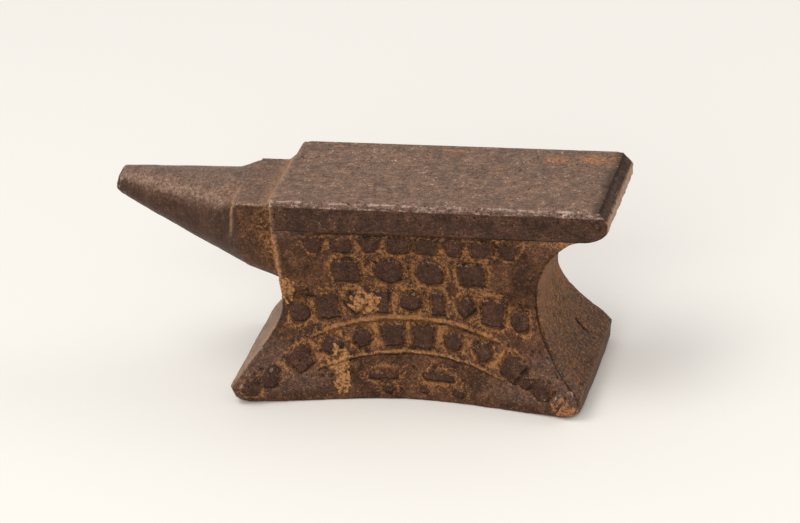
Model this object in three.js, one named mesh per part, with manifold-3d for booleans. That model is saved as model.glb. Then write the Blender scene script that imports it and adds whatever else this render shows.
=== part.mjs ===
// A miniature cast-iron anvil, of the size kept on a desk as a paperweight.
// It has a flat face with a short heel, a step and a conical horn, and a waisted body on four feet.
// The frame: +X runs from the horn to the heel, -Y is the ornamented side, +Z is up and z = 0 is the ground.
// All lengths are in millimetres.
import * as THREE from "three";
import { mergeVertices } from "three/addons/utils/BufferGeometryUtils.js";
import Module from "manifold-3d";

// ---- Driving dimensions ----

// The face plate is the flat working top. Its underside meets the body at z = bottom.
const PLATE = { hornEnd: -30.75, heelEnd: 52, halfWidth: 17.5, bottom: 46, top: 54, bevel: 0.5 };
// The heel's end: a slanted chamfer above, a thin end face that leans in, and a rounded underside.
const HEEL = {
  chamferRun: 2.2,
  chamferDrop: 2.4,
  endFace: 2.6,
  endLean: 0.2,
  underStart: 45,
  underBendX: 49.9,
  underBendZ: 46.5,
};
// A round plug set flush in the face, near the horn end on the far side.
const PLUG = { x: -27.1, y: 9.2, radius: 2.2, depth: 5, clearance: 0.1, sides: 24 };

// The body: its waist is narrowest at waistZ, and it flares below into the feet and above into the plate.
const BODY = {
  waistZ: 26, // height of the narrowest section
  footZ: 6, // below this height the feet stop flaring out
  hornEnd: -31.25, // the end under the horn is upright above the waist
  hornFlare: 12.8, // how far the horn-end feet reach out past it
  hornFlareZ: 23, // where that flare starts
  heelWaist: 32.7, // the heel-end surface at the waist
  heelFlare: 10.9, // how far the heel-end feet reach out past it
  scoopReach: 12.2, // how far the scoop under the heel runs out at the plate
  cornerWaist: 12.8, // half depth at the corner ridges, at the waist
  cornerTop: 17.3, // and under the plate
  cornerFoot: 23, // and at the feet
  middleWaist: 12, // half depth midway between the ridges, at the waist
  middleTop: 15.6, // and under the plate
  middleFoot: 15.2, // and at the ground
  toeRadius: 3.2, // plan radius of the rounded toes
  ridgeRadius: 0.9, // plan radius of the corner ridges higher up
  toeLean: 0.7, // how far the feet's sides lean in between that height and the ground
  soleRadius: 1.4, // rounding where the sides meet the ground, midway along them
  toeBall: 3.4, // and at the toes
};
const HORN_FLARE_POWER = 1.32; // how the feet sweep out under the horn
const HEEL_FLARE_POWER = 1.65; // and under the heel
const SCOOP_POWER = 0.65; // how the scoop under the heel closes on the plate
const PLAN_POWER = 1.6; // how the sides sweep out from the middle to the corners
const BODY_GRID = { x: 18, y: 6, z: 20 };

// The step between the face and the horn.
const STEP = { outerEnd: -40.5, halfWidth: 13, top: 51.1, sideBottom: 43, rootBottom: 25.6, slope: 0.46 };
const STEP_POWER = 2.3; // roundness of its underside
const STEP_GRID = { x: 2, y: 14, z: 4 };

// The horn: a cone whose root is square-shouldered and whose tip is round.
const HORN = {
  root: STEP.outerEnd,
  tip: -74.8,
  rootRadius: 12.5,
  tipRadius: 2.9,
  swell: 0.8, // below 1, the cone's sides bulge
  rootTop: 51.0,
  tipTop: 53.5,
  rootBottom: 29.9,
  rootShoulder: 3.5, // section power of the upper half at the root, where 2 is round
  noseLength: 1.1, // rounding of the blunt end
  endLean: 2, // how far its top leans back
  endReach: 5, // the length over which that lean grows
};
const HORN_GRID = { around: 32, along: 14 };

// Raised ornament on the front: rows of plain geometric bosses.
const BOSS = { height: 6.2, width: 5.6, relief: 0.8, base: -6, reach: 20 };

// ---- Profiles ----

const clamp01 = (t) => Math.min(1, Math.max(0, t));
const mix = (a, b, t) => a + (b - a) * t;

// The horn end of the body at height z.
function hornEndX(z) {
  const t = clamp01((BODY.hornFlareZ - z) / (BODY.hornFlareZ - BODY.footZ + 1));
  return BODY.hornEnd - BODY.hornFlare * t ** HORN_FLARE_POWER;
}

// The heel end of the body at height z: a scoop above the waist and a foot below it.
function heelEndX(z) {
  if (z < BODY.waistZ) {
    const t = clamp01((BODY.waistZ - z) / (BODY.waistZ - BODY.footZ));
    return BODY.heelWaist + BODY.heelFlare * t ** HEEL_FLARE_POWER;
  }
  const t = clamp01((z - BODY.waistZ) / (PLATE.bottom - BODY.waistZ));
  return BODY.heelWaist + BODY.scoopReach * (1 - (1 - t * t) ** SCOOP_POWER);
}

// The body's half depth at the corner ridges and in the middle of a side.
function cornerHalfDepth(z) {
  if (z < BODY.waistZ) {
    const t = clamp01((BODY.waistZ - z) / (BODY.waistZ - BODY.footZ + 1));
    return mix(BODY.cornerWaist, BODY.cornerFoot, t ** 1.15);
  }
  return mix(BODY.cornerWaist, BODY.cornerTop, (z - BODY.waistZ) / (PLATE.bottom - BODY.waistZ));
}
function middleHalfDepth(z) {
  if (z < BODY.waistZ) {
    const t = (BODY.waistZ - z) / BODY.waistZ;
    return mix(BODY.middleWaist, BODY.middleFoot, t ** 1.3);
  }
  const t = (z - BODY.waistZ) / (PLATE.bottom - BODY.waistZ);
  return mix(BODY.middleWaist, BODY.middleTop, t ** 1.6);
}

// How far the foot draws in towards the ground: a ball at each toe, a small round between them.
// corner is 0 in the middle of a side and 1 at the toe.
function soleTuck(z, corner) {
  const radius = mix(BODY.soleRadius, BODY.toeBall, corner ** 4);
  const drop = clamp01(1 - z / radius);
  return radius * (1 - Math.sqrt(1 - drop * drop)) + BODY.toeLean * clamp01(1 - z / BODY.footZ);
}

// ---- Geometry helpers ----

const wasm = await Module();
wasm.setup();

// A closed geometry with only merged positions.
function positionsOnly(geometry) {
  const bare = geometry.clone();
  for (const name of Object.keys(bare.attributes)) {
    if (name !== "position") bare.deleteAttribute(name);
  }
  return mergeVertices(bare, 1e-4);
}

function toSolid(geometry) {
  const merged = positionsOnly(geometry);
  const vertProperties = new Float32Array(merged.attributes.position.array);
  const triVerts = new Uint32Array(merged.index.array);
  return new wasm.Manifold(new wasm.Mesh({ numProp: 3, vertProperties, triVerts }));
}

function toGeometry(solid) {
  const mesh = solid.getMesh();
  const geometry = new THREE.BufferGeometry();
  geometry.setAttribute("position", new THREE.BufferAttribute(new Float32Array(mesh.vertProperties), 3));
  geometry.setIndex(new THREE.BufferAttribute(new Uint32Array(mesh.triVerts), 1));
  return geometry;
}

// Moves every vertex of a geometry by a rule that takes and changes a Vector3.
function reshape(geometry, rule) {
  const bare = positionsOnly(geometry);
  const position = bare.attributes.position;
  const point = new THREE.Vector3();
  for (let i = 0; i < position.count; i++) {
    point.fromBufferAttribute(position, i);
    rule(point);
    position.setXYZ(i, point.x, point.y, point.z);
  }
  return bare;
}

// ---- Body ----

// The body with its sides moved out by relief.
function bodyGeometry(relief) {
  const box = new THREE.BoxGeometry(2, 2, 1, BODY_GRID.x, BODY_GRID.y, BODY_GRID.z);
  return reshape(box, (p) => {
    // Rows are closer together near the ground, the plate and the corner ridges.
    const z = PLATE.bottom * (0.5 - 0.5 * Math.cos(Math.PI * (p.z + 0.5)));
    const u = Math.sign(p.x) * (1 - (1 - Math.abs(p.x)) ** 1.6);
    const v = Math.sign(p.y) * (1 - (1 - Math.abs(p.y)) ** 1.4);

    const low = hornEndX(z);
    const high = heelEndX(z);
    const halfLength = (high - low) / 2 - soleTuck(z, Math.abs(v));
    const sweep = Math.abs(u) ** PLAN_POWER;
    const plainDepth = mix(middleHalfDepth(z), cornerHalfDepth(z), sweep);
    const halfDepth = plainDepth - mix(0.6, 1, sweep) * soleTuck(z, Math.abs(u)) + relief;

    // Round the corner in plan: a square patch at the corner becomes a quarter disc.
    const radius = mix(BODY.toeRadius, BODY.ridgeRadius, clamp01((z - BODY.footZ / 2) / BODY.footZ));
    let x = Math.abs(u) * halfLength;
    let y = Math.abs(v) * halfDepth;
    const overX = (x - halfLength + radius) / radius;
    const overY = (y - halfDepth + radius) / radius;
    if (overX > 0 && overY > 0) {
      const shrink = Math.max(overX, overY) / Math.hypot(overX, overY);
      x = halfLength - radius + overX * shrink * radius;
      y = halfDepth - radius + overY * shrink * radius;
    }
    p.set((high + low) / 2 + Math.sign(u) * x, Math.sign(v) * y, z);
  });
}

// Outlines of the bosses, drawn about their own centres in the plane of the front.
const outline = (...points) => new THREE.Shape(points.map(([x, z]) => new THREE.Vector2(x, z)));

function lozenge(width, height) {
  return outline([-width / 2, 0], [0, -height / 2], [width / 2, 0], [0, height / 2]);
}

function block(topWidth, bottomWidth, height) {
  const [top, bottom, half] = [topWidth / 2, bottomWidth / 2, height / 2];
  return outline([-bottom, -half], [bottom, -half], [top, half], [-top, half]);
}

function disc(diameter) {
  return new THREE.Shape().absarc(0, 0, diameter / 2, 0, 2 * Math.PI);
}

// One boss as a prism through the front of the body, leaning by turn radians.
function bossSolid(shape, x, z, turn = 0) {
  const options = { depth: BOSS.reach, bevelEnabled: false, curveSegments: 7 };
  const prism = new THREE.ExtrudeGeometry(shape, options);
  prism.rotateZ(turn);
  prism.rotateX(Math.PI / 2); // drawn in XY, now in XZ and running to -Y
  prism.translate(x, BOSS.base, z);
  return toSolid(prism);
}

// A row of bosses on an arch that drops by fall at the distance spread from its middle.
function bossRow({ middle, crown, spread, fall, count, lean, shapes }) {
  const row = [];
  for (let i = 0; i < count; i++) {
    const t = (2 * i) / (count - 1) - 1;
    const shape = shapes[Math.min(i, count - 1 - i) % shapes.length];
    const z = crown - fall * Math.abs(t) ** 2.2;
    row.push(bossSolid(shape, middle + spread * t, z, -lean * Math.sign(t) * Math.abs(t) ** 1.2));
  }
  return row;
}

function ornament() {
  const { width, height } = BOSS;
  const low = height * 0.72;
  const wedge = block(width, width * 0.45, low);
  const bar = block(width * 0.9, width * 0.9, low);
  const diamond = lozenge(width * 1.05, height);
  const square = block(width, width, height);
  const tall = block(width * 0.55, width * 0.55, height);
  const key = block(width * 1.05, width * 0.75, height * 0.95);
  const rows = [
    bossRow({ middle: 3, crown: 42.2, spread: 24.2, fall: 0, count: 8, lean: 0, shapes: [wedge, bar] }),
    bossRow({
      middle: 2, crown: 34.4, spread: 15.4, fall: 0, count: 5, lean: 0,
      shapes: [square, disc(height), diamond],
    }),
    bossRow({
      middle: 1, crown: 25.9, spread: 27.5, fall: 3.2, count: 9, lean: 0.12,
      shapes: [disc(height * 0.8), square, diamond, tall],
    }),
    bossRow({
      middle: 0, crown: 17.2, spread: 34, fall: 10.2, count: 10, lean: 0.75,
      shapes: [disc(height * 0.75), key, diamond],
    }),
    bossRow({
      middle: 0, crown: 5.2, spread: 7.6, fall: 0, count: 2, lean: 0,
      shapes: [block(width * 1.25, width * 0.6, height)],
    }),
  ];
  return [...rows.flat(), bossSolid(disc(2), 0, 4.4)];
}

function body() {
  const plain = toSolid(bodyGeometry(0));
  const raised = toSolid(bodyGeometry(BOSS.relief));
  const bosses = ornament().reduce((all, boss) => all.add(boss));
  return toGeometry(plain.add(raised.intersect(bosses)));
}

// ---- Face plate and its plug ----

// The plate's side outline, with the heel's chamfer, end face and rounded underside.
function plateOutline() {
  const endTop = PLATE.top - HEEL.chamferDrop;
  const endBottom = endTop - HEEL.endFace;
  const shape = new THREE.Shape();
  shape.moveTo(PLATE.hornEnd, PLATE.bottom);
  shape.lineTo(HEEL.underStart, PLATE.bottom);
  shape.quadraticCurveTo(HEEL.underBendX, HEEL.underBendZ, PLATE.heelEnd - HEEL.endLean, endBottom);
  shape.lineTo(PLATE.heelEnd, endTop);
  shape.lineTo(PLATE.heelEnd - HEEL.chamferRun, PLATE.top);
  shape.lineTo(PLATE.hornEnd, PLATE.top);
  return shape;
}

function facePlate() {
  const { halfWidth, bevel } = PLATE;
  const plate = new THREE.ExtrudeGeometry(plateOutline(), {
    depth: 2 * (halfWidth - bevel),
    bevelThickness: bevel,
    bevelSize: bevel,
    bevelOffset: -bevel,
    bevelSegments: 1,
    curveSegments: 6,
  });
  plate.rotateX(Math.PI / 2); // drawn in XY, now in XZ and running to -Y
  plate.translate(0, halfWidth - bevel, 0);
  const hole = new THREE.CylinderGeometry(
    PLUG.radius + PLUG.clearance, PLUG.radius + PLUG.clearance, 2 * PLUG.depth + 0.6, PLUG.sides,
  );
  hole.rotateX(Math.PI / 2);
  hole.translate(PLUG.x, PLUG.y, PLATE.top);
  return toGeometry(toSolid(plate).subtract(toSolid(hole)));
}

function facePlug() {
  const plug = new THREE.CylinderGeometry(PLUG.radius, PLUG.radius, PLUG.depth, PLUG.sides);
  plug.rotateX(Math.PI / 2);
  plug.translate(PLUG.x, PLUG.y, PLATE.top - PLUG.depth / 2);
  return positionsOnly(plug);
}

// ---- Step and horn ----

// The lowest point of the step's section at x. It carries the horn's lower line on to the body.
function stepBottom(x) {
  return STEP.rootBottom + STEP.slope * (BODY.hornEnd - x);
}

function step() {
  const length = BODY.hornEnd - STEP.outerEnd;
  const box = new THREE.BoxGeometry(2, 2, 1, STEP_GRID.x, STEP_GRID.y, STEP_GRID.z);
  return reshape(box, (p) => {
    const x = STEP.outerEnd + (length * (p.x + 1)) / 2;
    const across = Math.sin((p.y * Math.PI) / 2);
    const round = (1 - Math.abs(across) ** STEP_POWER) ** (1 / STEP_POWER);
    const under = mix(STEP.sideBottom, stepBottom(x), Number.isFinite(round) ? round : 0);
    p.set(x, across * STEP.halfWidth, mix(under, STEP.top, p.z + 0.5));
  });
}

// A section of the horn at the share t of its length, at an angle round its axis.
function hornPoint(t, angle) {
  const length = HORN.root - HORN.tip;
  const nose = HORN.noseLength / length;
  const taper = clamp01((1 - t) / (1 - nose * 0.4)) ** HORN.swell;
  const halfWidth = mix(HORN.tipRadius, HORN.rootRadius, taper);
  const top = mix(HORN.tipTop, HORN.rootTop, (1 - t) ** 2);
  const bottom = mix(HORN.tipTop - 2 * HORN.tipRadius, HORN.rootBottom, (1 - t) ** 0.92);
  const centre = mix((top + bottom) / 2, bottom + halfWidth * 1.05, 1 - t);
  const shoulder = mix(2, HORN.rootShoulder, (1 - t) ** 2);
  // The nose rounds off over its own length.
  const past = clamp01((t - 1 + nose) / nose);
  const close = Math.sqrt(1 - 0.85 * past * past);
  const [c, s] = [Math.cos(angle), Math.sin(angle)];
  const power = s > 0 ? shoulder : 2;
  const across = Math.sign(c) * Math.abs(c) ** (2 / power) * halfWidth * close;
  const up = Math.sign(s) * Math.abs(s) ** (2 / power) * (s > 0 ? top - centre : centre - bottom) * close;
  // The blunt end leans back, so its lower edge reaches farthest.
  const end = clamp01((t - 1 + HORN.endReach / length) / (HORN.endReach / length));
  const lean = (HORN.endLean * (centre + up - bottom) * end * end) / (top - bottom);
  return new THREE.Vector3(HORN.root - length * t + lean, across, centre + up);
}

function horn() {
  const cylinder = new THREE.CylinderGeometry(1, 1, 1, HORN_GRID.around, HORN_GRID.along);
  return reshape(cylinder, (p) => {
    const along = 0.5 + p.y; // 0 at the root and 1 at the tip
    const t = mix(along, 1 - (1 - along) ** 2, 0.6);
    const reach = Math.hypot(p.x, p.z);
    const rim = hornPoint(t, Math.atan2(-p.x, p.z));
    const axis = (hornPoint(t, Math.PI / 2).z + hornPoint(t, -Math.PI / 2).z) / 2;
    p.set(rim.x, rim.y * reach, mix(axis, rim.z, reach));
  });
}

// ---- Assembly ----

const COLOURS = { castIron: 0x4e3a31, faceIron: 0x6b5a52, hornIron: 0x5a463c, plugIron: 0x74675e };

function part(name, geometry, color, roughness) {
  geometry.computeVertexNormals();
  const material = new THREE.MeshStandardMaterial({ color, roughness, metalness: 0.6, flatShading: true });
  const mesh = new THREE.Mesh(geometry, material);
  mesh.name = name;
  return mesh;
}

const anvil = new THREE.Group();
anvil.add(
  part("body", body(), COLOURS.castIron, 0.75),
  part("face_plate", facePlate(), COLOURS.faceIron, 0.55),
  part("face_plug", facePlug(), COLOURS.plugIron, 0.5),
  part("table", step(), COLOURS.castIron, 0.7),
  part("horn", horn(), COLOURS.hornIron, 0.6),
);

export default anvil;
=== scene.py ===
import math

import bmesh
import bpy
import numpy as np
from mathutils import Matrix, Vector, noise


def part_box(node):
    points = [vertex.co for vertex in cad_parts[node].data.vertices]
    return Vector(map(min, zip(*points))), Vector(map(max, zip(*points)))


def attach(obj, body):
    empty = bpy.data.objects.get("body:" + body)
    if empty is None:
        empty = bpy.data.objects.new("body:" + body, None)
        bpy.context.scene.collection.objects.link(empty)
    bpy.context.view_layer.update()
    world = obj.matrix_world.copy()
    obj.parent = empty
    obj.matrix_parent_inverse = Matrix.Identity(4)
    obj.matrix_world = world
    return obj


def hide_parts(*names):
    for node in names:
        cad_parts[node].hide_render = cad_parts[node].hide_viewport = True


bl_info = {
    "name": "Small Cast-Iron Anvil",
    "version": (1, 0, 0),
    "blender": (4, 5, 0),
    "location": "3D View > Sidebar > Anvil",
    "description": "A small one-horned anvil in old brown cast iron, with a raised pattern on its front",
    "category": "Add Mesh",
}

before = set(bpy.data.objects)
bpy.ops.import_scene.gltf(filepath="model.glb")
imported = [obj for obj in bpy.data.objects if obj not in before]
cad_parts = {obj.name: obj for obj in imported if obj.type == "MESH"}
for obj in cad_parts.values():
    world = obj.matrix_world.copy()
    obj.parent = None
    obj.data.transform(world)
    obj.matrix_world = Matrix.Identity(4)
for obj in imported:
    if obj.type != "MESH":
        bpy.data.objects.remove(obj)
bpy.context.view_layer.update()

# Shapes are worked out in millimetres and scaled to metres when they go into a mesh.
MM = 0.001


def node_box(name):
    """The lowest and highest corner of a frame node, in millimetres."""
    return [np.array(corner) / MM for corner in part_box(name)]


PLATE_LOW, PLATE_HIGH = node_box("face_plate")
PLUG_LOW, PLUG_HIGH = node_box("face_plug")
STEP_LOW, STEP_HIGH = node_box("table")
HORN_LOW, HORN_HIGH = node_box("horn")

# Body: heights, and how far its ends flare from the waist.
TOP = PLATE_LOW[2]
WAIST = 26.0
FOOT = 6.0
HORN_END = STEP_HIGH[0]
HORN_FLARE = 12.8
HORN_FLARE_TOP = 23.0
HORN_FLARE_POWER = 1.32
HEEL_WAIST = 32.7
HEEL_FLARE = 10.9
HEEL_FLARE_POWER = 1.65
SCOOP_REACH = 12.2
SCOOP_POWER = 0.65
# Half depths at the foot, the waist and the top, then the power and lowest height of their
# change below the waist, and the power above it.
CORNER_DEPTHS = (23.0, 12.8, 17.3)
CORNER_CURVE = (1.15, FOOT - 1, 1.0)
MIDDLE_DEPTHS = (15.2, 12.0, 15.6)
MIDDLE_CURVE = (1.3, 0.0, 1.6)
PLAN_POWER = 1.6
# Roundings: the toes and ridges seen from above, and the sole between and at the toes.
TOE_RADIUS = 3.2
RIDGE_RADIUS = 0.9
TOE_LEAN = 0.7
SOLE_RADIUS = 1.0
TOE_BALL = 3.4

# Plate: the heel's underside starts to rise, its end face, the chamfer over it, and the
# roundings of its edges and of its far corners.
UNDER_START = 45.0
UNDER_BEND = (49.9, 46.5)
END_FACE = ((PLATE_HIGH[0] - 0.2, 49.0), (PLATE_HIGH[0], 51.6))
HEEL_CHAMFER = 2.2
PLATE_EDGE = 0.55
PLATE_EDGE_POWER = 1.25
PLATE_CORNER = 2.2

# Step: where its upright sides end, its rounded underside, its top edges, and how far it
# reaches into the body.
STEP_SIDE_BOTTOM = 43.0
STEP_ROOT_BOTTOM = 25.6
STEP_SLOPE = 0.46
STEP_POWER = 2.3
STEP_EDGE = 1.0
STEP_OVERLAP = 1.2

# Horn: radii and heights at its root and its tip.
HORN_ROOT_RADIUS = 12.5
HORN_TIP_RADIUS = 2.9
HORN_SWELL = 0.8
HORN_ROOT_TOP = 51.0
HORN_ROOT_SHOULDER = 3.5
HORN_OVERLAP = 0.4
# Its blunt end: the length and fullness of its rounding, and how far its top leans back and
# its lower edge forward over a reach.
HORN_NOSE = 1.1
HORN_NOSE_FULLNESS = 0.97
HORN_END_LEAN = 2.0
HORN_END_FORWARD = 0.35
HORN_END_REACH = 5.0
# The cove at its root, and the power of the squarer section that it spreads to.
COVE = 5.0
COVE_POWER = 12.0

# Raised marks.
BOSS_HEIGHT = 6.2
BOSS_WIDTH = 5.6

# How finely the pieces are cut: cuts across x, y and z, or steps round and along.
BODY_CUTS = (250, 60, 140)
PLATE_CUTS = (260, 110, 24)
STEP_CUTS = (44, 100, 70)
HORN_STEPS = (200, 150)
PLUG_STEPS = 72
# Edges that turn more than this stay sharp.
SHARP_ANGLE = math.radians(55)

# Height of the finest texture, and the share of light that plain iron and the floor mirror.
TEXTURE_HEIGHT = 0.26
IRON_SHINE = 0.12
FLOOR_SHINE = 0.1
FLOOR_ROUGHNESS = 0.9


def linear(red, green, blue):
    """A screen colour from 0 to 255 as the four linear values of a colour property."""
    def channel(value):
        share = value / 255
        return share / 12.92 if share <= 0.04045 else ((share + 0.055) / 1.055) ** 2.4
    return (channel(red), channel(green), channel(blue), 1.0)


def colour_property(name, description, *screen):
    return bpy.props.FloatVectorProperty(
        name=name, description=description, subtype="COLOR", size=4, min=0.0, max=1.0,
        default=linear(*screen),
    )


class AnvilSizes(bpy.types.PropertyGroup):
    relief: bpy.props.FloatProperty(
        name="Mark height", description="How far the raised marks stand out of the front",
        default=1.0 * MM, min=0.0, unit="LENGTH",
    )
    edge_wear: bpy.props.FloatProperty(
        name="Edge wear", description="Width of the worn chamfer along the near edge of the face",
        default=1.3 * MM, min=0.1 * MM, unit="LENGTH",
    )
    roughcast: bpy.props.FloatProperty(
        name="Roughcast", description="Height of the fine unevenness of the cast surfaces",
        default=0.06 * MM, min=0.0, unit="LENGTH",
    )
    floor: bpy.props.FloatProperty(
        name="Floor", description="Side of the square floor", default=12.0, min=1.0, unit="LENGTH",
    )


class AnvilColours(bpy.types.PropertyGroup):
    dark: colour_property("Dark patina", "The darkest brown of the cast skin", 58, 38, 26)
    brown: colour_property("Brown patina", "The usual brown of the cast skin", 90, 60, 41)
    mark: colour_property("Mark patina", "The smooth dark brown of the raised marks", 62, 41, 32)
    plum: colour_property("Plum patina", "The smooth purplish brown of handled iron", 96, 73, 63)
    ochre: colour_property("Ochre rust", "The yellowish rust in the hollows", 148, 102, 63)
    orange: colour_property("Orange rust", "The bright rust of spots and seams", 172, 116, 76)
    # On the horn-end flare this tan is a painted highlight.
    tan: colour_property("Tan seam", "The light tan of seams and dusty flares", 178, 138, 104)
    crust: colour_property("Crust", "The pale grains of old scale", 184, 132, 84)
    # This pale colour also paints highlights.
    bare_and_highlight: colour_property("Bare iron", "Iron rubbed bare on edges and the face", 172, 150, 136)
    face: colour_property("Face", "The grey brown of the working face", 121, 96, 81)
    warm_face: colour_property("Warm face", "The redder patches of the working face", 132, 102, 83)
    floor: colour_property("Floor", "The warm white floor", 242, 238, 232)


def sizes():
    return bpy.context.scene.anvil_sizes


def colours():
    return bpy.context.scene.anvil_colours


# ---- Numbers on whole pieces at once ----


def clamp(values):
    return np.clip(values, 0.0, 1.0)


def mix(a, b, share):
    return a + (b - a) * share


def ease(low, high, values):
    """A smooth step from 0 at low to 1 at high."""
    share = clamp((values - low) / (high - low))
    return share * share * (3 - 2 * share)


def ripple(points, size, seed):
    """Smooth unevenness between about -1 and 1, with bumps of a size in millimetres."""
    return np.array([noise.noise(place) for place in (points / size + 17.3 * seed).tolist()])


def crackle(points, size, seed):
    """0 in the middle of irregular cells of a size in millimetres, about 1 between them."""
    places = (points / size + 11.9 * seed).tolist()
    return np.array([noise.voronoi(place)[0][0] for place in places])


def bent(values, power):
    """Keeps the sign of values and raises their size to a power."""
    return np.sign(values) * np.abs(values) ** power


# ---- Meshes ----


class Casting:
    """A piece's points in millimetres, and the tools that dent, soften and mark them."""

    def __init__(self, name, bm, rule):
        self.mesh = bpy.data.meshes.new(name)
        bm.to_mesh(self.mesh)
        bm.free()
        count = len(self.mesh.vertices)
        unit = np.empty(count * 3)
        self.mesh.vertices.foreach_get("co", unit)
        edges = np.empty(len(self.mesh.edges) * 2, dtype=np.int64)
        self.mesh.edges.foreach_get("vertices", edges)
        self.ends = edges.reshape(-1, 2)
        self.degree = np.bincount(edges, minlength=count)
        self.base = self.points = rule(unit.reshape(-1, 3))

    def normals(self):
        self.mesh.vertices.foreach_set("co", (self.points * MM).ravel())
        self.mesh.update()
        out = np.empty(len(self.mesh.vertices) * 3, dtype=np.float32)
        self.mesh.vertices.foreach_get("normal", out)
        return out.reshape(-1, 3).astype(float)

    def push(self, heights, direction=None):
        way = self.normals() if direction is None else np.array(direction, float)
        self.points = self.points + heights[:, None] * way

    def roughen(self, *waves, share=1.0):
        """Adds waves, each with a height in roughcasts, a size in millimetres and a seed."""
        heights = sum(height * ripple(self.base, size, seed) for height, size, seed in waves)
        self.push(share * sizes().roughcast / MM * heights)

    def soften(self, values, rounds):
        """Each round moves every value halfway to the mean of its neighbours."""
        a, b = self.ends.T
        count = len(self.degree)
        for _ in range(rounds):
            total = np.bincount(a, values[b], count) + np.bincount(b, values[a], count)
            values = (values + total / self.degree) / 2
        return values

    def hollows(self, rounds):
        """How deep each point lies under its softened surface; ridges are negative."""
        soft = np.stack([self.soften(self.points[:, axis], rounds) for axis in range(3)], axis=1)
        return ((soft - self.points) * self.normals()).sum(axis=1)

    def mark(self, **values):
        self.marks = {name: clamp(strength) for name, strength in values.items()}

    def finish(self, finish, node, slot_name):
        """Writes the points and marks, and hands the piece to the frame."""
        self.mesh.vertices.foreach_set("co", (self.points * MM).ravel())
        for name in MARKS:
            layer = self.mesh.attributes.new(name, "FLOAT", "POINT")
            strength = self.marks.get(name, np.zeros(len(self.points)))
            layer.data.foreach_set("value", strength.astype(np.float32))
        self.mesh.update()
        self.mesh.shade_smooth()
        self.mesh.set_sharp_from_angle(angle=SHARP_ANGLE)
        piece = bpy.data.objects.new(self.mesh.name, self.mesh)
        bpy.context.collection.objects.link(piece)
        piece.data.materials.append(finish)
        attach(piece, "root")
        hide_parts(node)
        return piece


# What a piece can carry on its points: rubbed metal with painted highlights, grime with painted
# shade, rust, scale, smooth plum patina, the dark skin of the raised marks, the grey brown of
# worked faces, and tan seams, which also paint a highlight on the horn-end flare.
MARKS = ("wear_and_highlight", "dirt_and_shade", "ochre", "orange", "crust", "plum", "smooth", "polish", "tan")


def runs_along(edge, axis):
    """True for an edge that changes only one coordinate."""
    step = edge.verts[1].co - edge.verts[0].co
    return all((abs(step[other]) > 1e-6) == (other == axis) for other in range(3))


def cut_cube(*cuts):
    """A cube from -1 to 1 cut into a grid, with a number of cuts across each axis."""
    bm = bmesh.new()
    bmesh.ops.create_cube(bm, size=2.0)
    for axis, count in enumerate(cuts):
        along = [edge for edge in bm.edges if runs_along(edge, axis)]
        bmesh.ops.subdivide_edges(bm, edges=along, cuts=count, use_grid_fill=True)
    return bm


def close_up(bm):
    """Fills what is open, and turns every face outwards."""
    rims = [edge for edge in bm.edges if edge.is_boundary]
    bmesh.ops.holes_fill(bm, edges=rims, sides=0)
    bmesh.ops.recalc_face_normals(bm, faces=bm.faces)
    return bm


def capped_cube(*cuts):
    """A cut cube whose two level sides are single faces."""
    bm = cut_cube(*cuts)
    level = [face for face in bm.faces if abs(face.normal.z) > 0.5]
    bmesh.ops.delete(bm, geom=level, context="FACES")
    return close_up(bm)


def turned(profile, axis, steps):
    """The surface that a profile sweeps in a whole turn about an axis."""
    bm = bmesh.new()
    verts = [bm.verts.new(place) for place in profile]
    edges = [bm.edges.new(pair) for pair in zip(verts, verts[1:])]
    bmesh.ops.spin(
        bm, geom=verts + edges, cent=(0, 0, 0), axis=axis, angle=2 * math.pi, steps=steps,
        use_merge=True,
    )
    bmesh.ops.remove_doubles(bm, verts=bm.verts, dist=1e-5)
    return close_up(bm)


def round_corner(a, b, half_a, half_b, radius, power=2.0, where=True):
    """Rounds the corner of a rectangle: a square patch becomes part of a disc."""
    over_a = (np.abs(a) - half_a + radius) / radius
    over_b = (np.abs(b) - half_b + radius) / radius
    inside = (over_a > 0) & (over_b > 0) & where
    most = np.maximum(over_a, over_b)
    reach = (np.abs(over_a) ** power + np.abs(over_b) ** power) ** (1 / power)
    shrink = np.where(inside, most / np.maximum(reach, 1e-9), 1.0)
    new_a = np.where(inside, half_a - radius + over_a * shrink * radius, np.abs(a))
    new_b = np.where(inside, half_b - radius + over_b * shrink * radius, np.abs(b))
    return np.sign(a) * new_a, np.sign(b) * new_b


def patch(points, centre, radii, ragged, seed):
    """1 inside an egg-shaped patch with a ragged edge, fading to 0 outside it."""
    away = np.sqrt((((points - np.array(centre)) / np.array(radii)) ** 2).sum(axis=1))
    near = away < 2.5
    strength = np.zeros(len(points))
    rough = ragged * ripple(points[near], 0.45 * min(radii), seed)
    strength[near] = ease(1.25, 0.75, away[near] + rough)
    return strength


def patches(points, places, ragged, seed):
    """The strongest of several patches at each point."""
    return np.max([patch(points, *place, ragged, seed) for place in places], axis=0)


def scratch(points, start, end, width, seed):
    """1 on a line between two places, fading to 0 at a width from it."""
    start, end = np.array(start), np.array(end)
    along = end - start
    share = clamp(((points - start) @ along) / (along @ along))
    away = np.linalg.norm(points - start - share[:, None] * along, axis=1)
    near = away < 4 * width
    strength = np.zeros(len(points))
    waver = 0.6 * width * ripple(points[near], 1.6, seed)
    taper = 1 - 0.6 * np.abs(2 * share[near] - 1) ** 3
    strength[near] = ease(1.0, 0.2, (away[near] + waver) / (width * taper))
    return strength


# ---- Shaders ----


class Reading:
    """A shader socket that can be used in sums."""

    def __init__(self, finish, socket):
        self.finish = finish
        self.socket = socket

    def __add__(self, other):
        return self.finish.sum("ADD", self, other)

    def __sub__(self, other):
        return self.finish.sum("SUBTRACT", self, other)

    def __rsub__(self, other):
        return self.finish.sum("SUBTRACT", other, self)

    def __mul__(self, other):
        return self.finish.sum("MULTIPLY", self, other)

    __radd__ = __add__
    __rmul__ = __mul__


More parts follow.
